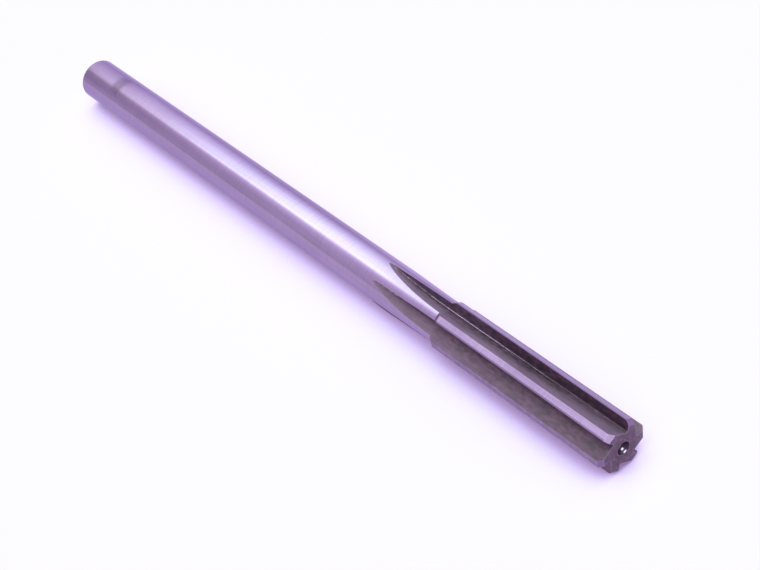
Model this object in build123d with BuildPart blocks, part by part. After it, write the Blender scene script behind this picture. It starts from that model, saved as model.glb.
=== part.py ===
from build123d import *
from math import acos, atan2, cos, degrees, radians, sin, sqrt, tan
import os

# A straight-fluted machine reamer, ground from one bar of high speed steel.
# The tool lies on its side as it rests on a bench, with its axis level.
# Origin: the middle of the shank's end. +X runs along the axis to the cutting end, +Z is up.
# Lengths are in millimetres and angles in degrees.

# Driving dimensions of the bar
overall_length = 203.2
head_diameter = 12.7
head_length = 51.0
shank_diameter = 11.1
back_bevel_angle = 30.0
shank_chamfer = 0.5

# Cutting end
lead_chamfer = 0.85
lead_relief_angle = 13.0

# Teeth: the cutting edges are unevenly spaced so that the tool doesn't chatter,
# but each has another straight opposite it, so that a micrometer can measure across them
first_pitch = 59.9
second_pitch = 58.0
land_width = 1.62
margin_width = 0.35
land_relief_angle = 8.0

# Flutes: a flat cutting face, a small radius at the root and a flat tooth back. They keep their
# full depth a little way past the head, and the grinding wheel leans as it lifts out of the shank,
# because its side that forms the cutting face is coned.
rake_angle = 4.0
core_diameter = 7.5
root_fillet = 0.3
full_flute_length = 51.5
flute_wheel_radius = 133.0
wheel_lean_angle = 15.0

# Centre holes, on which the tool is ground
centre_mouth_diameter = 3.2
centre_pilot_diameter = 1.6
centre_depth = 4.2
centre_angle = 60.0

# How far each cutter runs past the metal that it removes, and less far on the narrow lands
overrun = 1.5
relief_overrun = 0.25

# Sizes that follow
head_radius = head_diameter / 2
shank_radius = shank_diameter / 2
front = overall_length
bevel_front = front - head_length
bevel_back = bevel_front - (head_radius - shank_radius) / tan(radians(back_bevel_angle))
pitches = 2 * (first_pitch, second_pitch, 180 - first_pitch - second_pitch)


def polar(radius, angle):
    """A point in a cross-section, from its distance to the axis and its angle."""
    return Vector(radius * cos(radians(angle)), radius * sin(radians(angle)))


def angle_of(point):
    return degrees(atan2(point.Y, point.X))


# One land, seen from the cutting end, with its cutting edge at angle 0 and its heel behind at a negative
# angle: a narrow cylindrical margin, then a flat that falls away from the work by the relief angle
margin_end_angle = -degrees(margin_width / head_radius)
margin_end = polar(head_radius, margin_end_angle)
relief_direction = polar(1, margin_end_angle - 90 - land_relief_angle)
heel = margin_end + relief_direction * (land_width - margin_width)
before_margin_end = margin_end - relief_direction * relief_overrun
past_heel = heel + relief_direction * relief_overrun
heel_radius = heel.length
heel_angle = angle_of(heel)

# The tool comes to rest across the first flute, on that flute's cutting edge and the heel beyond it
resting_gap = first_pitch + heel_angle
edge_to_floor = degrees(atan2(head_radius - heel_radius * cos(radians(resting_gap)),
                              heel_radius * sin(radians(resting_gap))))
first_edge_angle = -90 - edge_to_floor

# Root of each flute, measured along the cutting face, which leans by the rake angle
face_offset = head_radius * sin(radians(rake_angle))
root_height = sqrt((core_diameter / 2) ** 2 - face_offset ** 2)

# The grinding wheel lifts out of the shank along an arc of its own radius
lift_out_height = (shank_radius + overrun - root_height) / cos(radians(wheel_lean_angle))
lift_out_angle = degrees(acos(1 - lift_out_height / flute_wheel_radius))


def section_plane(x, angle):
    """A plane across the tool at x, seen from the cutting end, with its own X axis at this angle."""
    return Plane(origin=(x, 0, 0), x_dir=(0, cos(radians(angle)), sin(radians(angle))), z_dir=(1, 0, 0))


with BuildPart() as reamer:
    # The turned bar: shank with a chamfered end, back bevel and cutting head
    with BuildSketch(Plane.XZ):
        with BuildLine():
            Polyline(
                (0, 0),
                (0, shank_radius - shank_chamfer),
                (shank_chamfer, shank_radius),
                (bevel_back, shank_radius),
                (bevel_front, head_radius),
                (front, head_radius),
                (front, 0),
                close=True,
            )
        make_face()
    revolve(axis=Axis.X)

    # Centre holes in both ends
    for end, outward in ((0, -1), (front, 1)):
        with Locations(Plane(origin=(end, 0, 0), x_dir=(0, 1, 0), z_dir=(outward, 0, 0))):
            CounterSinkHole(
                radius=centre_pilot_diameter / 2,
                counter_sink_radius=centre_mouth_diameter / 2,
                depth=centre_depth,
                counter_sink_angle=centre_angle,
            )

    edge_angle = first_edge_angle
    for pitch in pitches:
        # Flute ahead of this cutting edge: cutting face, root and the back of the next tooth
        face_plane = section_plane(front - full_flute_length, edge_angle + rake_angle)
        root = Vector(root_height, -face_offset)
        next_heel = polar(heel_radius, pitch + heel_angle - rake_angle)
        above_edge = Vector(head_radius + overrun, -face_offset)
        above_heel = next_heel + (next_heel - root).normalized() * overrun
        with BuildSketch(face_plane) as flute_section:
            with BuildLine():
                Polyline(above_edge, root, above_heel, close=True)
            make_face()
            fillet(flute_section.vertices().sort_by(Axis.X)[0], radius=root_fillet)
        extrude(amount=full_flute_length + overrun, mode=Mode.SUBTRACT)

        # Run-out of the flute, left in the shank where the wheel lifts away
        wheel_centre = face_plane.from_local_coords(root + polar(flute_wheel_radius, wheel_lean_angle))
        wheel_tip = face_plane.from_local_coords(root)
        wheel_axis = Axis(wheel_centre, face_plane.z_dir.cross(wheel_tip - wheel_centre))
        revolve(flute_section.sketch, axis=wheel_axis, revolution_arc=lift_out_angle, mode=Mode.SUBTRACT)

        # Relief ground behind the margin, along the head and its bevel
        with BuildSketch(section_plane(bevel_back, edge_angle)):
            with BuildLine():
                Polyline(
                    before_margin_end,
                    past_heel,
                    past_heel + Vector(overrun, 0),
                    before_margin_end + Vector(overrun, 0),
                    close=True,
                )
            make_face()
        extrude(amount=front + overrun - bevel_back, mode=Mode.SUBTRACT)

        # Lead chamfer of this tooth, ground at 45 degrees with a relief of its own
        edge_plane = section_plane(front, edge_angle)
        lead_plane = Plane(origin=edge_plane.origin, x_dir=(1, 0, 0), z_dir=edge_plane.y_dir)
        relieved = edge_plane.from_local_coords(polar(1, -90 - lead_relief_angle)) - edge_plane.origin
        with BuildSketch(lead_plane):
            with BuildLine():
                Polyline(
                    (-lead_chamfer - overrun, head_radius + overrun),
                    (overrun, head_radius - lead_chamfer - overrun),
                    (overrun, head_radius + overrun),
                    close=True,
                )
            make_face()
        extrude(amount=2 * land_width, dir=relieved, mode=Mode.SUBTRACT)

        edge_angle += pitch

reamer.part.label = "reamer"
os.makedirs("parts", exist_ok=True)
export_step(reamer.part, "parts/reamer.step")

print("overall", overall_length, "head", head_diameter, "shank", shank_diameter)
print("volume", round(reamer.part.volume / 1000, 3), "cm3, solids", len(reamer.part.solids()))
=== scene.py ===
# %% [markdown]
# A machine reamer with straight flutes, dressed for its portrait
#
# A reamer is ground from one bar of high speed steel: a plain shank that a holder grips, and a
# cutting head with six teeth. The CAD model gives its true size and place, and it is loaded
# first as a frame that nothing below may move. Blender then adds what CAD leaves out: fine
# curved surfaces, the marks of the grinding wheels, and the light.

# %% Load the frame
from math import atan2, cos, degrees, hypot, pi, radians, sin, sqrt, tan

import bpy
import numpy as np
from mathutils import Matrix, Vector
from mathutils.geometry import delaunay_2d_cdt


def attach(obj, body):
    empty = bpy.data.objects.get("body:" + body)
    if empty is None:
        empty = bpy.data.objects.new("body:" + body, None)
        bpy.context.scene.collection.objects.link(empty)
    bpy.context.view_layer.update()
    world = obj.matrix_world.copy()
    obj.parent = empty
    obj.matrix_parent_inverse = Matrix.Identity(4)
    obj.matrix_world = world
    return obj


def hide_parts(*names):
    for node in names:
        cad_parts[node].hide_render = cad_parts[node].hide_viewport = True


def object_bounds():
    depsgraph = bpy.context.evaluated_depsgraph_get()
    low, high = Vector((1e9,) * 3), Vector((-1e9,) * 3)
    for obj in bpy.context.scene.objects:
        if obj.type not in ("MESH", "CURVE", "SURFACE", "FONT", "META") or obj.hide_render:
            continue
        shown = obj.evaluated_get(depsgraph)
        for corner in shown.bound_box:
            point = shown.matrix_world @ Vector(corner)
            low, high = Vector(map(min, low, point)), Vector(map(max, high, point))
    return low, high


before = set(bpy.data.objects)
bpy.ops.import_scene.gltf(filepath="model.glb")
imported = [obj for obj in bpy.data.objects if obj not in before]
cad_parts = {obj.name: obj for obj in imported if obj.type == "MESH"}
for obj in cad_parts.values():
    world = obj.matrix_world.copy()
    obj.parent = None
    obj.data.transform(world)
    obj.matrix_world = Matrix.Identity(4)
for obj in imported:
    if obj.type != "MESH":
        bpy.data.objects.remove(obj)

cad_box = [list(corner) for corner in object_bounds()]
print("CAD box in millimetres", [[round(1000 * v, 2) for v in corner] for corner in cad_box])

# %% [markdown]
# Sizes
#
# A half inch reamer, in millimetres, with its axis along X and the cutting end at +X. The steel
# mesh is made in millimetres too, because that is how such a tool is drawn, and scaled to metres
# at the very end. Angles are in degrees, and turn as seen from the cutting end.

# %% Sizes of the reamer
MM = 0.001
overall_length = 203.2
head_radius = 12.7 / 2
head_length = 51.0
shank_radius = 11.1 / 2
back_bevel_angle = 30.0
shank_chamfer = 0.5
lead_chamfer = 0.85
lead_relief_angle = 13.0
pitches = (59.9, 58.0, 62.1) * 2
land_width = 1.62
margin_width = 0.35
land_relief_angle = 8.0
rake_angle = 4.0
core_radius = 7.5 / 2
root_fillet = 0.3
full_flute_length = 51.5
flute_wheel_radius = 133.0
wheel_lean_angle = 15.0
hole_mouth_radius = 3.2 / 2
pilot_radius = 1.6 / 2
hole_depth = 4.2
hole_angle = 60.0

bevel_front = overall_length - head_length
bevel_back = bevel_front - (head_radius - shank_radius) / tan(radians(back_bevel_angle))
full_flute_start = overall_length - full_flute_length
print("bevel from", round(bevel_back, 3), "to", round(bevel_front, 3))

# %% [markdown]
# The outside of the bar
#
# Before its flutes are cut, the tool is a turned bar, so its outside is known from one profile:
# shank, bevel and head. Two grinding jobs lower it further on each tooth. A flat behind the
# narrow margin clears the hole's wall, and a 45 degree chamfer at the front, relieved in the
# same way, does the cutting. The outside at any place is the lowest of these surfaces. Writing it
# as one function of position keeps every later point exactly on the steel.


# %% Outside radius at any place
def polar(radius, angle):
    return np.array([radius * cos(radians(angle)), radius * sin(radians(angle))])


margin_end_angle = -degrees(margin_width / head_radius)
relief_direction = polar(1, margin_end_angle - 90 - land_relief_angle)
heel = polar(head_radius, margin_end_angle) + relief_direction * (land_width - margin_width)
heel_radius = hypot(*heel)
heel_angle = degrees(atan2(heel[1], heel[0]))
relief_normal_angle = margin_end_angle - land_relief_angle
relief_distance = head_radius * cos(radians(land_relief_angle))
# A relief flat no longer counts more than this many degrees away from its normal
relief_reach = 60


def bar_radius(x):
    if x < bevel_back:
        return min(shank_radius, shank_radius - shank_chamfer + x)
    return min(head_radius, shank_radius + (x - bevel_back) * tan(radians(back_bevel_angle)))


def land_radius(angle):
    """Head radius behind a cutting edge at angle 0: the margin, then the relief flat."""
    turn = angle - relief_normal_angle
    if abs(turn) > relief_reach:
        return head_radius
    return min(head_radius, relief_distance / cos(radians(turn)))


def chamfer_reach(angle):
    """How far the lead chamfer's plane leans back with the angle behind the cutting edge."""
    return cos(radians(angle)) - tan(radians(lead_relief_angle)) * sin(radians(angle))


# At the cutting edge of a 45 degree chamfer, x and the radius always add up to this
chamfer_sum = head_radius - lead_chamfer + overall_length


def outer_radius(x, angle):
    """Angle is measured from the nearest cutting edge."""
    radius = min(bar_radius(x), land_radius(angle))
    if x > overall_length - 2 * lead_chamfer:
        radius = min(radius, (chamfer_sum - x) / chamfer_reach(angle))
    return radius


print("heel radius", round(heel_radius, 3), "at", round(heel_angle, 2), "degrees")

# %% [markdown]
# One flute
#
# A flute has a flat cutting face, a small radius at its root and a flat tooth back. Its section
# is drawn once for each pitch, with the cutting face along the first axis, and is walked by one
# length: down the face, round the root and up the back. Where the grinding wheel lifts out of
# the shank, each point moves outwards along an arc of the wheel, so the same section also makes
# the long pointed run-out. A boolean cut would give the same shape, but leaves long thin
# triangles that spoil the reflections. Walking the section keeps the faces in neat strips.

# %% The section of a flute
# The cutting face's coarse marks run on over this share of the round in the root
coarse_share = 0.6


class Flute:
    def __init__(self, pitch):
        self.pitch = pitch
        offset = head_radius * sin(radians(rake_angle))
        self.root = np.array([sqrt(core_radius ** 2 - offset ** 2), -offset])
        next_heel = polar(heel_radius, pitch + heel_angle - rake_angle)
        back = next_heel - self.root
        self.back_length = hypot(*back)
        self.back_direction = back / self.back_length
        opening = atan2(self.back_direction[1], self.back_direction[0])
        self.tangent_length = root_fillet / tan(opening / 2)
        self.fillet_turn = pi - opening
        self.fillet_length = root_fillet * self.fillet_turn
        self.face_length = head_radius * cos(radians(rake_angle)) - self.root[0]
        self.corner_start = self.face_length - self.tangent_length
        self.corner_end = self.corner_start + self.fillet_length
        self.smooth_start = self.corner_start + coarse_share * self.fillet_length
        self.length = self.corner_end + self.back_length - self.tangent_length
        self.lean = polar(1, wheel_lean_angle)

    def plan(self, walked):
        """A point of the full section, after this length from the cutting edge."""
        if walked < self.corner_start:
            return self.root + np.array([self.face_length - walked, 0])
        if walked > self.corner_end:
            from_root = walked - self.corner_end + self.tangent_length
            return self.root + self.back_direction * from_root
        centre = self.root + np.array([self.tangent_length, root_fillet])
        turned = (walked - self.corner_start) / root_fillet
        return centre - root_fillet * np.array([sin(turned), cos(turned)])

    def point(self, walked, x):
        """Radius and angle of that point at x. The angle counts from this flute's cutting edge."""
        place = self.plan(walked)
        if x < full_flute_start:
            reach = flute_wheel_radius - (place - self.root) @ self.lean
            rise = reach - sqrt(max(0, reach ** 2 - (full_flute_start - x) ** 2))
            place = place + rise * self.lean
        return hypot(*place), degrees(atan2(place[1], place[0])) + rake_angle


edge_to_floor = degrees(atan2(
    head_radius - heel_radius * cos(radians(pitches[0] + heel_angle)),
    heel_radius * sin(radians(pitches[0] + heel_angle))))
edge_angles = [-90 - edge_to_floor + sum(pitches[:i]) for i in range(len(pitches))]
flutes = [Flute(pitch) for pitch in pitches]
print("cutting edges at", [round(angle, 1) for angle in edge_angles])

# %% [markdown]
# Where a flute breaks the surface
#
# At each place along the tool, the flute's section is used only between the two points where it
# meets the outside. Each is found by halving: a length that is inside the steel and one that
# is outside close in on the edge between them. Halving needs no formula for the crossing, so it
# works alike on the round shank, the bevel, the land and the chamfer.

# %% Crossing points of a flute and the outside
trial_count, halvings = 60, 40
least_depth = 1e-5
# Walked this far past either end of a section, a point is surely outside the steel
overshoot = 1.0
# A place on the shank that no flute reaches
uncut_x = 100.0


def crossings(flute, row):
    """Lengths at which the flute meets the outside in this row, or None before its tip."""

    def depth(walked, from_next):
        shift = flute.pitch if from_next else 0
        x = row(-shift)
        # Twice, because the angle depends on x and x on the angle
        for _ in range(2):
            radius, angle = flute.point(walked, x)
            x = row(angle - shift)
        return outer_radius(x, angle - shift) - radius

    trial = np.linspace(flute.corner_start, flute.corner_end, trial_count)
    depths = [depth(walked, False) for walked in trial]
    deepest = int(np.argmax(depths))
    if depths[deepest] < least_depth:
        return None
    ends = []
    for outside, from_next in ((-overshoot, False), (flute.length + overshoot, True)):
        inside = trial[deepest]
        for _ in range(halvings):
            middle = (inside + outside) / 2
            if depth(middle, from_next) > 0:
                inside = middle
            else:
                outside = middle
        ends.append(inside)
    return ends


def flute_tip(flute):
    """The place on the shank where the flute begins, as x and angle."""
    low, high = uncut_x, full_flute_start
    for _ in range(halvings):
        middle = (low + high) / 2
        if crossings(flute, lambda angle: middle) is None:
            low = middle
        else:
            high = middle
    start = crossings(flute, lambda angle: high)
    return high, flute.point((start[0] + start[1]) / 2, high)[1]


for flute in flutes:
    flute.tip_x, flute.tip_angle = flute_tip(flute)
print("flutes begin at", [round(flute.tip_x, 2) for flute in flutes])

# %% [markdown]
# Rows along the tool
#
# The skin is woven from rows, each a closed loop round the tool. A row is a function that gives
# x for an angle behind the cutting edge, because two rows lie on creases that aren't square to
# the axis: the front of the bevel and the start of the lead chamfer, where flats meet cones.
# Rows are close together where the shape changes fast, as at the pointed flute tips.


# %% Shapes of rows
def straight(x):
    return lambda angle: x


def bevel_crease(angle):
    return bevel_back + (land_radius(angle) - shank_radius) / tan(radians(back_bevel_angle))


def chamfer_crease(angle):
    return chamfer_sum - land_radius(angle) * chamfer_reach(angle)


def between(first, second, share):
    return lambda angle: first(angle) + (second(angle) - first(angle)) * share


# %% The rows
# Spacing on the plain shank, and gaps between a crease or a flute tip and the next plain row
first_plain, plain_spacing = 3.0, 2.0
chamfer_gap, tip_gap, bevel_gap, head_gap, lead_gap = 0.25, 1.0, 0.3, 0.4, 0.5
run_out_steps, head_steps = 56, 62

tip_xs = sorted({round(flute.tip_x, 4) for flute in flutes})
shank_end_rows = [0, shank_chamfer / 2, shank_chamfer, shank_chamfer + chamfer_gap]
plain_shank = np.arange(first_plain, tip_xs[0] - tip_gap, plain_spacing)
run_out_length = bevel_back - bevel_gap - tip_xs[-1]
run_out = tip_xs[-1] + run_out_length * np.linspace(0, 1, run_out_steps)[1:] ** 2
shank_rows = [*shank_end_rows, *plain_shank, *tip_xs, *run_out]
head_end = overall_length - lead_chamfer - lead_gap
head_rows = np.linspace(bevel_front + head_gap, head_end, head_steps)

rows = [straight(x) for x in (*shank_rows, bevel_back)]
rows += [between(straight(bevel_back), bevel_crease, share) for share in (0.25, 0.5, 0.75)]
rows += [bevel_crease] + [straight(x) for x in head_rows] + [chamfer_crease]
front_plane = straight(overall_length)
rows += [between(chamfer_crease, front_plane, share) for share in (0.2, 0.4, 0.6, 0.8)]
rows += [front_plane]
print(len(rows), "rows")

# %% [markdown]
# Regions
#
# The real surfaces differ in how they were ground, and meet in sharp edges. Each face of the
# mesh therefore carries the name of its region. Later, an edge between two regions is marked
# sharp, and each region gets the steel finish that it has on the tool. Two regions are only
# another finish on the same surface, so no edge is marked round them: the bright line in a root,
# partly a painted highlight, and the painted glints on two arcs in a centre hole.

# %% Regions of the skin
(SHANK, SHANK_CHAMFER, SHANK_END, FLUTE, ROOT, BEVEL, RELIEF, MARGIN, LEAD, FRONT, HOLE_CONE,
 HOLE_GLINT, PILOT, PILOT_END) = range(14)
# The surface that each of these regions runs into without an edge
tangent_regions = {ROOT: FLUTE, HOLE_GLINT: HOLE_CONE}

bevel_row = len(shank_rows)
crease_row = rows.index(bevel_crease)
lead_row = rows.index(chamfer_crease)
print("bevel from row", bevel_row, "head from", crease_row, "lead chamfer from", lead_row)


def outside_region(row_index, on_margin):
    """Region of the outside between this row and the next."""
    if row_index < shank_rows.index(shank_chamfer):
        return SHANK_CHAMFER
    if row_index < bevel_row:
        return SHANK
    if row_index < crease_row:
        return BEVEL
    if row_index < lead_row:
        return MARGIN if on_margin else RELIEF
    return LEAD


# %% [markdown]
# Dried oil and painted shade
#
# Cutting oil dries on a tool to a thin film, brown in some places and grey in others. It is
# thickest on the cutting faces and near the front, where the tool works, while the lands are
# rubbed almost clean. The same darkening grows from the heel down each tooth's back to the root,
# partly film and partly painted shade deep in the flute, and as painted shade it also darkens
# the land of the lowest tooth, beside the floor. A texture alone can't know where a flute is
# deep, so every point of the skin stores its own amount, from 0 for clean steel to 1 for the
# darkest. No two flutes are alike, so the amounts are given in the order of the teeth. Along the
# middle of a root the amount is low, so the root's light finish shows as a bright line, partly a
# painted highlight, which ends before the front, where the amount rises again.

# %% Amounts of dried oil
bevel_stain = 0.3
# The last land is painted darker, as shade on the lowest tooth beside the floor
land_oil_and_shade_amounts = (0.2, 0.2, 0.1, 0.0, 0.0, 0.33)
lead_stains = (0.0, 0.1, 0.35, 0.0, 0.2, 0.1)
face_stains = (1.0, 1.0, 0.45, 1.0, 1.0, 1.0)
# At a flute's root the amount is partly film and partly painted shade
back_oil_and_shade_amounts = (0.7, 0.7, 0.7, 0.7, 0.6, 0.7)
front_back_oil_and_shade_amounts = (0.7, 0.7, 0.7, 0.35, 0.6, 0.0)
heel_stains = (0.2, 0.2, 0.2, 0.0, 0.45, 0.0)
# Where the root's painted highlight gives way to the flute's finish
root_highlight_end = 187.0

# How the film changes along the tool: places in x, and the share of its amount at each
face_course = (135, 150, 195), (0.35, 0.6, 1)
# In a root a low amount lets the painted highlight show, and a high one near the front darkens it
root_course = (141, 146, 150, 162, 185), (1, 0.5, 0.15, 0.1, 1)
heel_course = (150, 185), (0.2, 1)
back_places = (185, 196)
# Above 1, the film and painted shade keep their full amount for a while as they go from the root
# up a tooth's back
back_spread = 1.4
print("thickest film on each cutting face", face_stains)

# %% Oil and painted shade at any place
# Slack in millimetres for comparing lengths along a section, and places beside a crease
length_slack, crease_slack = 1e-6, 0.01


def land_oil_and_shade(x, angle, tooth):
    if x > chamfer_crease(angle) + crease_slack:
        return lead_stains[tooth]
    if x > bevel_crease(angle) - crease_slack:
        return land_oil_and_shade_amounts[tooth]
    return bevel_stain if x > bevel_back else 0.0


def flute_oil_and_shade(flute, x, walked, to_heel, tooth):
    """Oil and painted shade down the cutting face, round the root or up the back, whose heel is
    to_heel away.
    """
    if walked < flute.smooth_start - length_slack:
        return face_stains[tooth] * np.interp(x, *face_course)
    if walked < flute.corner_end:
        return np.interp(x, *root_course)
    from_heel = to_heel / (flute.length - flute.corner_end)
    at_heel = heel_stains[tooth] * np.interp(x, *heel_course)
    at_root = np.interp(x, back_places, (back_oil_and_shade_amounts[tooth], front_back_oil_and_shade_amounts[tooth]))
    return at_heel * max(1 - from_heel, 0) + at_root * min(back_spread * from_heel, 1)


# %% [markdown]
# Weaving the skin
#
# Each row visits the six teeth in turn: the land from its heel to its cutting edge, then down
# and up through the flute ahead. Lengths along a flute are the same in every row, but held
# between the two crossings, so beyond the edge of a flute its points fall on one another. The
# weld then joins them, which turns the surplus squares into triangles or into nothing. Besides
# its amount of oil and painted shade, every point stores how far it is from the nearest sharp
# edge. The steel finishes use this distance for a lighter rim along the edges, partly wear, which
# starts at the edges of a tool, and partly a painted highlight where an edge would catch the
# light.

# %% Points of one row
relief_steps, margin_steps = 12, 4
margin_share = 1 - margin_end_angle / heel_angle
land_shares = [*np.linspace(0, margin_share, relief_steps + 1),
               *np.linspace(margin_share, 1, margin_steps + 1)[1:]]
face_points, corner_points, back_points = 9, 11, 15
# The edge distance of a point that has no edge near it
FAR = 9.0
print(len(land_shares), "points across each land")


def flute_lengths(flute):
    face = np.linspace(0, flute.corner_start, face_points)
    corner = np.linspace(flute.corner_start, flute.corner_end, corner_points)[1:]
    back = np.linspace(flute.corner_end, flute.length, back_points)[1:]
    return [*face, *corner, *back]


def crease_distance(x, angle):
    """Distance along the axis to the nearest crease of the outside."""
    creases = (0, shank_chamfer, bevel_back, bevel_crease(angle), chamfer_crease(angle),
               overall_length)
    return min(abs(x - crease) for crease in creases)


def row_points(row):
    """One closed loop as (x, radius, angle, edge distance, oil and painted shade), and the kind of
    each step.
    """
    loop, kinds = [], []
    cuts = [crossings(flute, row) for flute in flutes]
    for i, ahead in enumerate(flutes):
        behind = flutes[i - 1]
        if cuts[i - 1]:
            x = row(0)
            start = behind.point(cuts[i - 1][1], x)[1] - behind.pitch
        else:
            start = behind.tip_angle - behind.pitch
        end = ahead.point(cuts[i][0], row(0))[1] if cuts[i] else ahead.tip_angle
        for share in land_shares:
            angle = start + (end - start) * share
            x = row(angle)
            radius = outer_radius(x, angle)
            to_edges = [FAR]
            if cuts[i - 1]:
                to_edges.append(radians(angle - start) * radius)
            if cuts[i]:
                to_edges.append(radians(end - angle) * radius)
            distance = min(crease_distance(x, angle), *to_edges)
            loop.append((x, radius, edge_angles[i] + angle, distance, land_oil_and_shade(x, angle, i)))
            kinds.append("margin" if share >= margin_share else "relief")
        kinds[-1] = "flute"
        for walked in flute_lengths(ahead)[1:-1]:
            if cuts[i]:
                low, high = cuts[i]
                held = min(max(walked, low), high)
                share = (held - low) / (high - low)
                x = row(0) + (row(heel_angle) - row(0)) * share
                radius, angle = ahead.point(held, x)
                distance = min(held - low, high - held, abs(overall_length - x))
                oil_and_shade = flute_oil_and_shade(ahead, x, held, high - held, i) if distance > 0 else 0.0
            else:
                x, angle, distance, oil_and_shade = row(0), ahead.tip_angle, FAR, 0.0
                radius = outer_radius(x, angle)
            loop.append((x, radius, edge_angles[i] + angle, distance, oil_and_shade))
            from_start = walked - ahead.smooth_start
            from_end = walked - ahead.corner_end
            in_root = from_start > -length_slack and from_end < -length_slack
            kinds.append("root" if in_root and x < root_highlight_end else "flute")
    return loop, kinds


# %% Weld and weave
points, edge_distances, oil_and_shade_amounts, numbers = [], [], [], {}
faces, regions = [], []


def weld(x, y, z, distance, oil_and_shade=0.0):
    """The number of the point at this place, to a tenth of a micrometre. It is added only once."""
    key = (round(x, 4), round(y, 4), round(z, 4))
    if key not in numbers:
        numbers[key] = len(points)
        points.append((x, y, z))
        edge_distances.append(distance)
        oil_and_shade_amounts.append(oil_and_shade)
    return numbers[key]


def weld_polar(x, radius, angle, distance, oil_and_shade=0.0):
    return weld(x, radius * cos(radians(angle)), radius * sin(radians(angle)), distance, oil_and_shade)


def add_face(corners, region):
    """Adds a face, unless the weld has left it with fewer than three corners."""
    kept = [c for i, c in enumerate(corners) if c != corners[i - 1]]
    if len(kept) > 2 and len(set(kept)) == len(kept):
        faces.append(kept)
        regions.append(region)


def bridge(first, second, region):
    """Faces between two loops of equal count. Region may be a list, with one for each step."""
    count = len(first)
    for i in range(count):
        j = (i + 1) % count
        here = region[i] if isinstance(region, list) else region
        add_face((first[i], first[j], second[j], second[i]), here)


loops, kinds_of_rows = [], []
for row in rows:
    loop, kinds = row_points(row)
    loops.append([weld_polar(*point) for point in loop])
    kinds_of_rows.append(kinds)
inner_regions = {"flute": FLUTE, "root": ROOT}
for i in range(len(rows) - 1):
    step_regions = [
        inner_regions[kind] if kind in inner_regions else outside_region(i, kind == "margin")
        for kind in kinds_of_rows[i]]
    bridge(loops[i], loops[i + 1], step_regions)
print("skin:", len(points), "points,", len(faces), "faces")

# %% [markdown]
# Centre holes and end faces
#
# Both ends have a 60 degree centre hole, on whose cone the tool turned while it was ground, with
# a small pilot behind it that holds oil. The hole is painted dark, as shade inside a recess, and
# two short arcs on its cone have the shank's lighter finish. They are painted glints, put only
# where the light catches the cone. The front face has a star-shaped outline, too uneven for
# rings, so both ends are filled with triangles over a fine even grid of points. The grid also
# lets the lighter edge strip, wear and painted highlight, keep close to the edges. Oil dries in
# the middle of an end, round the hole, and is rubbed off towards the rim.

# %% Centre holes
hole_steps = 48
cone_depth = (hole_mouth_radius - pilot_radius) / tan(radians(hole_angle / 2))
turns = np.linspace(0, 360, hole_steps, endpoint=False)
# The painted glints lie on arcs between these angles, on the two rings of the cone marked for them
glint_from, glint_to = 270, 298
cone_rings = ((0, HOLE_CONE), (0.08, HOLE_GLINT), (0.3, HOLE_CONE), (0.65, HOLE_GLINT),
              (0.95, HOLE_CONE))
pilot_ring_depth = 0.4


def ring(x, radius, distance):
    return [weld_polar(x, radius, angle, distance) for angle in turns]


def centre_hole(face_x, inward):
    """Cone, pilot and its flat end. Inward is +1 at the shank's end and -1 at the front."""
    cone = [(depth, hole_mouth_radius - depth * tan(radians(hole_angle / 2)), FAR, region)
            for depth, region in cone_rings]
    profile = (*cone, (cone_depth, pilot_radius, 0, PILOT),
               (cone_depth + pilot_ring_depth, pilot_radius, pilot_ring_depth, PILOT),
               (hole_depth, pilot_radius, 0, PILOT_END),
               (hole_depth, pilot_radius / 2, FAR, PILOT_END))
    rings = [ring(face_x + inward * depth, radius, distance)
             for depth, radius, distance, _ in profile]
    for i in range(len(rings) - 1):
        pair = (rings[i], rings[i + 1]) if inward < 0 else (rings[i + 1], rings[i])
        region = profile[i][3]
        if region == HOLE_GLINT:
            region = [HOLE_GLINT if glint_from <= turn < glint_to else HOLE_CONE
                      for turn in turns]
        bridge(pair[1], pair[0], region)
    middle = weld(face_x + inward * hole_depth, 0, 0, FAR)
    for i in range(hole_steps):
        pair = [rings[-1][i], rings[-1][(i + 1) % hole_steps]]
        add_face([middle] + (pair if inward < 0 else pair[::-1]), PILOT_END)
    return rings[0]


shank_mouth = centre_hole(0, 1)
front_mouth = centre_hole(overall_length, -1)
print("both holes have a mouth of", len(front_mouth), "points")

# %% End faces
# Spacing of the grid and its distance from any border, in millimetres
end_grid, border_gap = 0.3, 0.12
# The share of the oil that is rubbed off at the rim
rim_rubbed = 0.7


def outline_of(loop):
    return [c for i, c in enumerate(loop) if c != loop[i - 1]]


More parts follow.
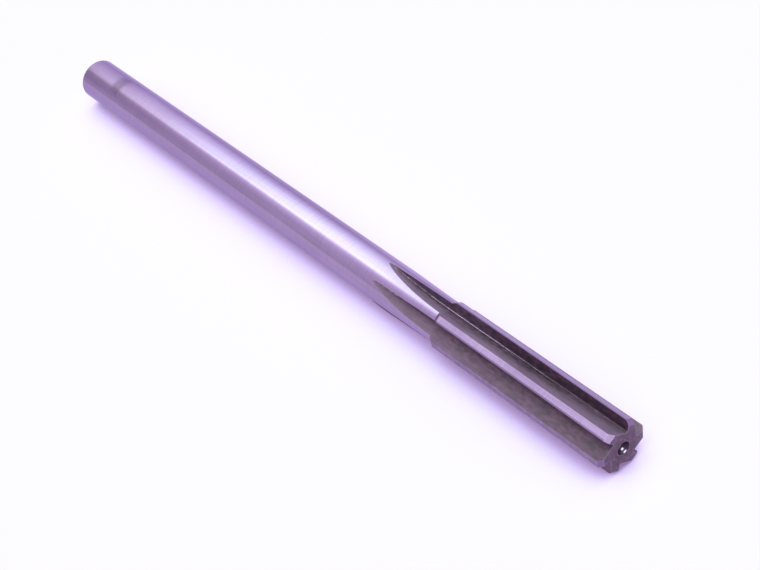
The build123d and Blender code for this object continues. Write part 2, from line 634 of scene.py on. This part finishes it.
def fill_end(outline, mouth, x, outward, region):
    """Triangles between an outline and the mouth of the centre hole."""
    rim = [points[c][1:] for c in outline]
    hole = [points[c][1:] for c in mouth]
    border = np.array(rim + hole)
    after = np.array(rim[1:] + rim[:1] + hole[1:] + hole[:1])
    inner = []
    reach = max(hypot(*place) for place in rim)
    for j, z in enumerate(np.arange(-reach, reach, end_grid * sqrt(3) / 2)):
        for y in np.arange(-reach + (j % 2) * end_grid / 2, reach, end_grid):
            place = np.array([y, z])
            along = after - border
            share = np.clip(((place - border) * along).sum(1) / (along ** 2).sum(1), 0, 1)
            gap = np.hypot(*(border + along * share[:, None] - place).T).min()
            if gap > border_gap and hypot(y, z) > hole_mouth_radius:
                inner.append((y, z, gap))
    flat = [Vector(place) for place in rim + hole] + [Vector(place[:2]) for place in inner]
    # Kind 1 keeps only the triangles inside the outline
    places, _, triangles, sources, _, _ = delaunay_2d_cdt(
        flat, [], [list(range(len(rim)))], 1, 1e-6)
    distances = [0.0] * len(border) + [place[2] for place in inner]
    gaps = [distances[source[0]] if source else 0 for source in sources]
    for triangle in triangles:
        corners = [places[c] for c in triangle]
        middle = sum(corners, Vector((0, 0))) / 3
        if middle.length < hole_mouth_radius:
            continue
        ids = [weld(x, *places[c], gaps[c], 1 - rim_rubbed * places[c].length / head_radius)
               for c in triangle]
        turned = (corners[1] - corners[0]).cross(corners[2] - corners[0]) > 0
        add_face(ids if turned == (outward > 0) else ids[::-1], region)


fill_end(outline_of(loops[0]), shank_mouth, 0, -1, SHANK_END)
fill_end(outline_of(loops[-1]), front_mouth, overall_length, 1, FRONT)
print("whole tool:", len(points), "points,", len(faces), "faces")

# %% [markdown]
# From lists to a mesh
#
# The mesh is made in one call from the lists. All faces are smooth, and an edge whose two faces
# belong to different regions is sharp. That gives crisp cutting edges beside round, soft-looking
# fillets without any angle limit to tune. A closed skin has two faces at every edge, which is
# counted at the end, because a gap would show as a dark line.

# %% Make the reamer
mesh = bpy.data.meshes.new("ground_reamer")
mesh.from_pydata([Vector(point) * MM for point in points], [], faces)
mesh.polygons.foreach_set("use_smooth", [True] * len(mesh.polygons))
surface_of_edge = {}
sharp = set()
for polygon in mesh.polygons:
    surface = tangent_regions.get(regions[polygon.index], regions[polygon.index])
    for key in polygon.edge_keys:
        if surface_of_edge.setdefault(key, surface) != surface:
            sharp.add(key)
for edge in mesh.edges:
    edge.use_edge_sharp = edge.key in sharp
for name, values in (("edge_distance", edge_distances), ("oil_and_shade", oil_and_shade_amounts)):
    attribute = mesh.attributes.new(name, "FLOAT", "POINT")
    attribute.data.foreach_set("value", np.array(values, np.float32))

reamer = bpy.data.objects.new("ground_reamer", mesh)
bpy.context.collection.objects.link(reamer)
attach(reamer, "root")
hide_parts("reamer")

# %% Is the skin closed?
used = np.zeros(len(mesh.edges), int)
numbers_of_edges = {edge.key: edge.index for edge in mesh.edges}
for polygon in mesh.polygons:
    for key in polygon.edge_keys:
        used[numbers_of_edges[key]] += 1
print("edges not shared by two faces:", int((used != 2).sum()), "sharp:", len(sharp))

# %% [markdown]
# Colours and nodes
#
# Colours are written as the sRGB hex values that a paint program shows, and one function turns
# them into the linear numbers that a shader works with. A second function adds a node. It takes
# the node's inputs by name or by number. In a Mix node 0 is the share, 2 and 3 are numbers, and
# 6 and 7 are colours. In a Map Range node 0 is the value, 1 and 2 are the range it comes from,
# and 3 and 4 the range it goes to. A third function makes a mask for one place on a surface, and
# a fourth gives a colour ramp its stops.


# %% Helpers
def linear(hex_colour):
    channels = [int(hex_colour[i:i + 2], 16) / 255 for i in (1, 3, 5)]
    return [c / 12.92 if c <= 0.04045 else ((c + 0.055) / 1.055) ** 2.4 for c in channels] + [1.0]


def add(tree, kind, inputs=None, **settings):
    """Adds a node. Settings are its own choices; inputs are values, or the sockets to link."""
    node = tree.nodes.new(kind)
    for name, value in settings.items():
        setattr(node, name, value)
    for name, value in (inputs or {}).items():
        if isinstance(value, bpy.types.NodeSocket):
            tree.links.new(value, node.inputs[name])
        else:
            node.inputs[name].default_value = value
    return node


def patch(tree, spot, *ramps):
    """A mask: the product of ramps, each an axis, two places in millimetres and two values."""
    product = 1.0
    for axis, start, end, first, last in ramps:
        ramp = add(tree, "ShaderNodeMapRange", {
            0: spot[axis], 1: start * MM, 2: end * MM, 3: first, 4: last})
        product = add(tree, "ShaderNodeMath", {0: ramp.outputs[0], 1: product},
                      operation="MULTIPLY").outputs[0]
    return product


def fill_ramp(node, stops):
    """Gives a colour ramp its stops, each a position and its linear colour."""
    elements = node.color_ramp.elements
    for _ in range(len(stops) - 2):
        elements.new(0.5)
    for element, (position, colour) in zip(elements, stops):
        element.position = position
        element.color = (*colour, 1)


# %% [markdown]
# Ground high speed steel
#
# High speed steel is a hard tool steel. Ground, it is a cool grey metal, here with the violet
# cast of the photograph. Its colour is that of its reflections, so metallic is 1 and the IOR
# stays at its default. A grinding wheel leaves fine parallel lines, drawn here as noise that is
# stretched along the way the wheel travelled. A real line is a few hundredths of a millimetre
# wide, too fine for a picture of the whole tool, so the lines are drawn some ten times coarser.
# They change colour and height a little. Clouds of handling add dull patches, and the last tenth
# of a millimetre before an edge is lighter, partly rubbed by wear and partly a painted highlight
# where the edge would catch the light. Dried oil tints the steel brown or grey in blotches of a
# millimetre or so, as the stored amount says, and moves the roughness halfway to that of the film.
# The same tint is also painted shade deep in the flutes and on the lowest tooth.

# %% A ground steel finish
# Seen along its surface, steel mirrors nearly all light, and this tint keeps the violet cast there
GRAZING_TINT = "#dccff6"
# Brown and grey of dried oil, which also colour the painted shade in the flutes
BROWN_FILM_AND_SHADE, GREY_FILM_AND_SHADE = "#604256", "#544a58"
FILM_ROUGHNESS, FILM_SHARE = 0.5, 0.5
cloud_sizes, blotch_sizes = (14, 5, 5), (1.6, 0.8, 0.8)


def ground_steel(name, dark, light, edge, smooth, rough, lines, streaks, line_height):
    """Lines and streaks are sizes of the noise in millimetres along x, y and z."""
    material = bpy.data.materials.new(name)
    material.use_nodes = True
    tree = material.node_tree
    place = add(tree, "ShaderNodeTexCoord").outputs["Object"]

    def noise(sizes, detail):
        scaled = add(tree, "ShaderNodeMapping", {0: place, 3: [1 / (size * MM) for size in sizes]})
        return add(tree, "ShaderNodeTexNoise", {
            "Vector": scaled.outputs[0], "Scale": 1.0, "Detail": detail}).outputs[0]

    line_noise, streak_noise = noise(lines, 2), noise(streaks, 3)
    cloud_noise = noise(cloud_sizes, 4)
    marks = add(tree, "ShaderNodeMath", {0: line_noise, 1: streak_noise}, operation="ADD")
    marks = add(tree, "ShaderNodeMath", {0: marks.outputs[0], 1: cloud_noise}, operation="ADD")
    # Each noise stays near 0.5, so three of them add up to about 1.5
    tone = add(tree, "ShaderNodeMapRange", {0: marks.outputs[0], 1: 1.1, 2: 1.9})
    steel = add(tree, "ShaderNodeMix", {0: tone.outputs[0], 6: linear(dark), 7: linear(light)},
                data_type="RGBA")

    blotches = noise(blotch_sizes, 3)
    drop = add(tree, "ShaderNodeMapRange", {0: blotches, 1: 0.42, 2: 0.62})
    film_and_shade_tint = add(tree, "ShaderNodeMix", {0: drop.outputs[0], 6: linear(BROWN_FILM_AND_SHADE),
                                      7: linear(GREY_FILM_AND_SHADE)}, data_type="RGBA")
    amount = add(tree, "ShaderNodeMapRange", {0: blotches, 1: 0.32, 2: 0.68, 3: 0.5, 4: 1.5})
    # The stored amount of oil and painted shade at this point
    oil_and_shade = add(tree, "ShaderNodeAttribute", attribute_name="oil_and_shade").outputs["Fac"]
    oil_and_shade = add(tree, "ShaderNodeMath", {0: oil_and_shade, 1: amount.outputs[0]}, operation="MULTIPLY",
                use_clamp=True)
    oiled_and_shaded = add(tree, "ShaderNodeMix", {0: oil_and_shade.outputs[0], 6: steel.outputs[2],
                                          7: film_and_shade_tint.outputs[2]}, data_type="RGBA")

    # The distance is in millimetres, and the streaks make the end of the lighter strip ragged;
    # that strip is partly wear and partly a painted highlight
    near = add(tree, "ShaderNodeAttribute", attribute_name="edge_distance").outputs["Fac"]
    ragged = add(tree, "ShaderNodeMath", {0: streak_noise, 1: -0.12, 2: near},
                 operation="MULTIPLY_ADD")
    edge_wear_and_highlight = add(tree, "ShaderNodeMapRange", {0: ragged.outputs[0], 1: -0.06, 2: 0.05,
                                              3: 0.6, 4: 0})
    colour = add(tree, "ShaderNodeMix", {0: edge_wear_and_highlight.outputs[0], 6: oiled_and_shaded.outputs[2],
                                         7: linear(edge)}, data_type="RGBA")
    dullness = add(tree, "ShaderNodeMapRange", {0: cloud_noise, 1: 0.3, 2: 0.7,
                                                3: smooth, 4: rough})
    film = add(tree, "ShaderNodeMath", {0: oil_and_shade.outputs[0], 1: FILM_SHARE},
               operation="MULTIPLY")
    dullness = add(tree, "ShaderNodeMix", {0: film.outputs[0], 2: dullness.outputs[0],
                                           3: FILM_ROUGHNESS})
    bump = add(tree, "ShaderNodeBump", {"Height": line_noise, "Distance": line_height * MM})
    shader = tree.nodes["Principled BSDF"]
    shader.inputs["Metallic"].default_value = 1.0
    shader.inputs["Specular Tint"].default_value = linear(GRAZING_TINT)
    tree.links.new(colour.outputs[2], shader.inputs["Base Color"])
    tree.links.new(dullness.outputs[0], shader.inputs["Roughness"])
    tree.links.new(bump.outputs[0], shader.inputs["Normal"])
    print(name, "made with", len(tree.nodes), "nodes")
    return material


# %% [markdown]
# Finishes of one steel
#
# The shank is ground while it turns, so its lines run round it. So do those of the lands, where
# they show as a fine hatch across the narrow strip. The margins in front of them are ground last
# and finest, so they are smoother, and the lead chamfers look more violet. The flutes are ground
# lengthwise with a coarser wheel and are never polished, so they are duller, darker and browner,
# and the bevel looks like them. Only where the wheel's corner has run, in the root, is the steel
# smooth, and its light colour there is partly a painted highlight. The shank's chamfer is turned,
# and scatters the light a little. The ends are faced on a lathe and left plain. The centre holes
# are painted dark, as shade inside a recess, and their arcs of painted glint have the finish of
# the shank.

# %% The finishes
# Sizes of noise in millimetres: lines round the tool, short lines across a land, lines along it
round_lines, land_lines, long_lines = (0.45, 7.0, 7.0), (0.5, 4.0, 4.0), (18.0, 0.35, 0.35)
land_streaks, flute_streaks = (12.0, 0.5, 0.5), (5.0, 1.2, 1.2)
shank_steel = ground_steel(
    "ground_shank_high_speed_steel", "#9d86b3", "#a991c2", "#b49fcc", 0.10, 0.17,
    round_lines, (30.0, 0.8, 0.8), 0.0006)
land_steel = ground_steel(
    "ground_land_high_speed_steel", "#9a84af", "#a991c0", "#b49fcc", 0.18, 0.26,
    land_lines, land_streaks, 0.0012)
margin_steel = ground_steel(
    "ground_margin_high_speed_steel", "#927ca7", "#a189b8", "#a189b8", 0.10, 0.16,
    land_lines, land_streaks, 0.0006)
lead_steel = ground_steel(
    "ground_lead_high_speed_steel", "#856a9b", "#9275a9", "#937aa8", 0.18, 0.26,
    land_lines, land_streaks, 0.0006)
flute_steel = ground_steel(
    "ground_flute_high_speed_steel", "#786080", "#8f7595", "#957fa0", 0.70, 0.80,
    long_lines, flute_streaks, 0.0010)
# Light colours, partly a painted highlight along the root
root_steel_and_highlight = ground_steel(
    "ground_root_steel_painted_highlight", "#bea2c8", "#d3b8de", "#d3b8de", 0.14, 0.2,
    long_lines, flute_streaks, 0.0001)
chamfer_steel = ground_steel(
    "ground_chamfer_high_speed_steel", "#927da5", "#a48dba", "#b49fcc", 0.24, 0.32,
    round_lines, (2.0, 0.5, 0.5), 0.0010)
end_steel = ground_steel(
    "faced_end_high_speed_steel", "#6d5878", "#8b759a", "#957fa4", 0.38, 0.50,
    (1.0, 0.5, 0.5), (1.0, 1.6, 1.6), 0.0015)
# Dark colours, painted shade inside a centre hole
shaded_hole_steel = ground_steel(
    "drilled_hole_steel_painted_shade", "#3c2e40", "#4f4055", "#5a4a60", 0.40, 0.50,
    round_lines, (1.0, 0.5, 0.5), 0.0010)

finishes = {SHANK: shank_steel, MARGIN: margin_steel, RELIEF: land_steel, FLUTE: flute_steel,
            ROOT: root_steel_and_highlight, BEVEL: flute_steel, LEAD: lead_steel, SHANK_CHAMFER: chamfer_steel,
            SHANK_END: end_steel, FRONT: end_steel, HOLE_CONE: shaded_hole_steel, HOLE_GLINT: shank_steel,
            PILOT: shaded_hole_steel, PILOT_END: shaded_hole_steel}
for steel in dict.fromkeys(finishes.values()):
    mesh.materials.append(steel)
slots = [mesh.materials.find(finishes[region].name) for region in range(len(finishes))]
mesh.polygons.foreach_set("material_index", [slots[region] for region in regions])

# %% [markdown]
# A dull place near the shank's end
#
# About 15 mm from the end, the top of the shank is darker and rougher over a few millimetres, and
# the long highlight is broken there. Only the roughness and the tone change, so a mask is enough:
# five ramps multiplied, two along the tool, two across it and one for its upper side. Noise moves
# the places at which the ramps are read, which makes the border ragged.

# %% Dull place
# Noise of about 1.7 mm moves the border by up to 2.5 mm
border_noise_scale, border_shift = 600.0, 2.5
dull_tint, dull_roughness = (0.6, 0.55, 0.57, 1), 0.2
tree = shank_steel.node_tree
shader = tree.nodes["Principled BSDF"]
place = add(tree, "ShaderNodeTexCoord").outputs["Object"]
fine = add(tree, "ShaderNodeTexNoise", {
    "Vector": place, "Scale": border_noise_scale, "Detail": 3.0}).outputs["Color"]
shifted = add(tree, "ShaderNodeVectorMath", {0: fine, 1: (border_shift * MM,) * 3, 2: place},
              operation="MULTIPLY_ADD")
spot = add(tree, "ShaderNodeSeparateXYZ", {0: shifted.outputs[0]}).outputs
mask = patch(tree, spot, ("X", 14.2, 15.8, 0, 1), ("X", 19.6, 18.0, 0, 1),
             ("Y", -2.4, -1.0, 0, 1), ("Y", 4.2, 2.8, 0, 1), ("Z", 1, 2, 0, 1))
base_link, rough_link = (shader.inputs[name].links[0] for name in ("Base Color", "Roughness"))
duller = add(tree, "ShaderNodeMath", {0: mask, 1: dull_roughness, 2: rough_link.from_socket},
             operation="MULTIPLY_ADD")
darker = add(tree, "ShaderNodeMix", {0: mask, 6: (1, 1, 1, 1), 7: dull_tint}, data_type="RGBA")
darker = add(tree, "ShaderNodeMix", {0: 1.0, 6: base_link.from_socket, 7: darker.outputs[2]},
             data_type="RGBA", blend_type="MULTIPLY")
tree.links.new(darker.outputs[2], shader.inputs["Base Color"])
tree.links.new(duller.outputs[0], shader.inputs["Roughness"])
print(shank_steel.name, "has", len(tree.nodes), "nodes with its dull place")

# %% [markdown]
# Floor
#
# The tool lies on white paper under even light, so its shadow is the soft dark band where the
# tool hides part of the sky. The photograph is exposed until the paper is white, and only where
# the sky is half hidden does the lavender cast of its light show. Half of the paper's brightness
# is plain matt white. The other half is a glow that only the camera and the metal see. Ambient
# occlusion measures the hidden sky, and the glow lifts the paper to the photograph's white. In
# the metal the paper is brighter still, beside the head and in a band that runs aslant, because
# the light on the real paper wasn't even.

# %% Floor
floor_height = cad_box[0][2]
half_width = 1.5
corners = [(-half_width, -half_width), (half_width, -half_width),
           (half_width, half_width), (-half_width, half_width)]
floor_mesh = bpy.data.meshes.new("paper_floor")
floor_mesh.from_pydata([(x, y, floor_height) for x, y in corners], [], [(0, 1, 2, 3)])
floor = bpy.data.objects.new("paper_floor", floor_mesh)
bpy.context.collection.objects.link(floor)
print("floor at", round(1000 * floor_height, 3), "mm")

# %% White paper
# The share of the paper's brightness that is plain matt white
MATT = 0.5
# How far away the tool still hides the sky, in metres
sky_reach = 0.3
# Light levels of the paper in a reflection, even and at its brightest, which may pass 1
even_level, bright_level = (0.99, 0.99, 0.98, 1), (1.99, 2.14, 1.88, 1)
# In a reflection the shadow beside the tool is lightened by this factor
shadow_gain = 1.32
band_slant = -28.8
# Colours of the shadow in the photograph, by the share of the sky that is seen
shadow_stops = ((0.20, "#8a709d"), (0.30, "#9073a0"), (0.35, "#a286b5"), (0.40, "#af93c7"),
                (0.45, "#beace2"), (0.50, "#cebef5"), (0.60, "#e6dafd"), (0.70, "#f6edfe"),
                (0.82, "#fdfcfe"))
paper = bpy.data.materials.new("white_paper")
paper.use_nodes = True
tree = paper.node_tree
tree.nodes.clear()
sky = add(tree, "ShaderNodeAmbientOcclusion", {"Distance": sky_reach}, samples=8).outputs["AO"]
photographed = add(tree, "ShaderNodeValToRGB", {0: sky})
fill_ramp(photographed, [(seen, linear(colour)[:3]) for seen, colour in shadow_stops])
place = add(tree, "ShaderNodeTexCoord").outputs["Object"]
turned = add(tree, "ShaderNodeVectorRotate", {"Vector": place, "Angle": radians(band_slant)},
             rotation_type="Z_AXIS").outputs[0]
spot = add(tree, "ShaderNodeSeparateXYZ", {0: place}).outputs
aslant = add(tree, "ShaderNodeSeparateXYZ", {0: turned}).outputs
beside_head = patch(tree, spot, ("Y", -10, 10, 0, 1), ("Y", 60, 100, 1, 0),
                    ("X", 105, 140, 0, 0.42), ("X", 145, 170, 1, 0.6))
light_band = patch(tree, aslant, ("X", 80, 108, 0, 0.45), ("X", 118, 150, 1, 0),
                   ("Y", -70, 45, 0, 1))
bright = add(tree, "ShaderNodeMath", {0: beside_head, 1: light_band}, operation="ADD").outputs[0]
level = add(tree, "ShaderNodeMix", {0: bright, 6: even_level, 7: bright_level},
            data_type="RGBA")
lit = add(tree, "ShaderNodeMath", {0: sky, 1: shadow_gain}, operation="MULTIPLY", use_clamp=True)
mirrored = add(tree, "ShaderNodeVectorMath", {0: level.outputs[2], "Scale": lit.outputs[0]},
               operation="SCALE")
rays = add(tree, "ShaderNodeLightPath").outputs
target = add(tree, "ShaderNodeMix", {0: rays["Is Glossy Ray"], 6: photographed.outputs[0],
                                     7: mirrored.outputs[0]}, data_type="RGBA")
matt_part = add(tree, "ShaderNodeMath", {0: sky, 1: MATT}, operation="MULTIPLY")
lift = add(tree, "ShaderNodeVectorMath", {0: target.outputs[2], 1: matt_part.outputs[0]},
           operation="SUBTRACT")
seen = add(tree, "ShaderNodeMath", {0: rays["Is Camera Ray"], 1: rays["Is Glossy Ray"]},
           operation="MAXIMUM")
seen = add(tree, "ShaderNodeMath", {0: seen.outputs[0], 1: rays["Is Transmission Ray"]},
           operation="MAXIMUM")
glow = add(tree, "ShaderNodeEmission", {"Color": lift.outputs[0], "Strength": seen.outputs[0]})
matt = add(tree, "ShaderNodeBsdfDiffuse", {"Color": (MATT, MATT, MATT, 1)})
both = add(tree, "ShaderNodeAddShader", {0: glow.outputs[0], 1: matt.outputs[0]})
add(tree, "ShaderNodeOutputMaterial", {0: both.outputs[0]})
floor_mesh.materials.append(paper)
print(paper.name, "made with", len(tree.nodes), "nodes")

# %% [markdown]
# Studio light
#
# Polished steel shows what is around it, so the light is drawn as surroundings. Walls of a plain
# level make a colour render about as it is written. A long soft light hangs over the tool and
# along it. Its far side ends sharply, which gives the crisp line on the shank, and its near side
# fades towards the horizon. The light is weaker towards the shank's end, as the highlight is.
# Matt surfaces see plain even white instead, so the floor is lit alike everywhere.

# %% Levels of the surroundings
# The walls and the long light go by the angle round the tool, in degrees. The light's strength
# goes by the direction along the tool as well, from -1 behind the shank to 1 before the front.
# Light levels may pass 1, so they aren't written as colours.
wall_stops = ((5, 0.88), (15, 0.92), (39, 0.85), (66, 0.77), (80, 0.78), (101, 0.49), (112, 0.44),
              (147, 0.48), (159, 0.62), (175, 0.74))
strip_stops = ((10, (0, 0, 0)), (27, (0.40, 0.55, 0.52)), (39, (0.77, 1.05, 0.89)),
               (51, (1.20, 1.69, 1.21)), (66, (1.73, 2.43, 1.70)), (78, (1.93, 2.79, 2.0)),
               (92, (2.30, 3.30, 2.2)), (103, (2.75, 4.0, 2.4)), (108.5, (1.9, 2.3, 1.75)),
               (114, (1.25, 1.25, 1.24)), (123, (0.84, 0.83, 0.83)), (135, (0.58, 0.58, 0.56)),
               (147, (0.43, 0.42, 0.43)), (159, (0.27, 0.25, 0.27)), (175, (0.1, 0.05, 0.05)))
length_stops = ((-0.835, (0, 0, 0)), (-0.782, (0.40, 0.29, 0.35)), (-0.741, (0.71, 0.68, 0.75)),
                (-0.68, (1, 1, 1)), (-0.65, (1.0, 1.0, 1.0)), (-0.622, (0.45, 0.38, 0.51)),
                (-0.61, (0.66, 0.6, 0.7)), (-0.57, (0.45, 0.42, 0.46)), (-0.54, (0.5, 0.47, 0.5)),
                (-0.505, (1.0, 0.96, 1.0)))
LENGTH_START, LENGTH_SPAN = -0.85, 0.35

# %% Surroundings
world = bpy.data.worlds.new("studio")
bpy.context.scene.world = world
world.use_nodes = True
tree = world.node_tree
tree.nodes.clear()
direction = add(tree, "ShaderNodeTexCoord").outputs["Generated"]
parts = add(tree, "ShaderNodeSeparateXYZ", {0: direction}).outputs
turn = add(tree, "ShaderNodeMath", {0: parts[2], 1: parts[1]}, operation="ARCTAN2")
share = add(tree, "ShaderNodeMath", {0: turn.outputs[0], 1: pi}, operation="DIVIDE").outputs[0]
walls, strip = (add(tree, "ShaderNodeValToRGB", {0: share}) for _ in range(2))
fill_ramp(walls, [(angle / 180, (level,) * 3) for angle, level in wall_stops])
fill_ramp(strip, [(angle / 180, level) for angle, level in strip_stops])
along = add(tree, "ShaderNodeMapRange", {
    0: parts[0], 1: LENGTH_START, 2: LENGTH_START + LENGTH_SPAN})
length = add(tree, "ShaderNodeValToRGB", {0: along.outputs[0]})
fill_ramp(length, [((reach - LENGTH_START) / LENGTH_SPAN, level) for reach, level in length_stops])
strip = add(tree, "ShaderNodeVectorMath", {0: strip.outputs[0], 1: length.outputs[0]},
            operation="MULTIPLY")
studio = add(tree, "ShaderNodeVectorMath", {0: strip.outputs[0], 1: walls.outputs[0]},
             operation="ADD")
rays = add(tree, "ShaderNodeLightPath").outputs
colour = add(tree, "ShaderNodeMix", {
    0: rays["Is Glossy Ray"], 6: (1, 1, 1, 1), 7: studio.outputs[0]}, data_type="RGBA")
background = add(tree, "ShaderNodeBackground", {0: colour.outputs[2], 1: 1.0})
add(tree, "ShaderNodeOutputWorld", {0: background.outputs[0]})
print("surroundings made with", len(tree.nodes), "nodes")

# %% [markdown]
# Camera
#
# A camera was fitted to the photograph's outline of the tool. It looks down along the tool from
# the cutting end, is held slightly turned, and sees the long side of the tool at a slant. The
# picture is 760 points wide, and the lens was found in those points. The camera's three axes are
# worked out one by one and set as a matrix, which shows each step of how it is aimed.

# %% Camera
image_width, focal_length_points, sensor_width = 760, 1548.72, 36.0
camera_data = bpy.data.cameras.new("camera")
camera_data.sensor_width = sensor_width
camera_data.lens = focal_length_points / image_width * sensor_width
camera_data.clip_start = 0.01
camera = bpy.data.objects.new("camera", camera_data)
bpy.context.collection.objects.link(camera)
camera_place = (355.461 * MM, -118.342 * MM, 239.625 * MM)
azimuth, pitch, roll = radians(152.785), radians(-43.2244), radians(17.680)
view = Vector((cos(azimuth) * cos(pitch), sin(azimuth) * cos(pitch), sin(pitch)))
level_right = view.cross(Vector((0, 0, 1))).normalized()
level_up = level_right.cross(view)
up = level_up * cos(roll) + level_right * sin(roll)
right = view.cross(up)
camera.matrix_world = Matrix((
    (right[0], up[0], -view[0], camera_place[0]),
    (right[1], up[1], -view[1], camera_place[1]),
    (right[2], up[2], -view[2], camera_place[2]),
    (0, 0, 0, 1)))
bpy.context.scene.camera = camera
bpy.context.scene.view_settings.view_transform = "Standard"
print("lens", round(camera_data.lens, 2), "mm")
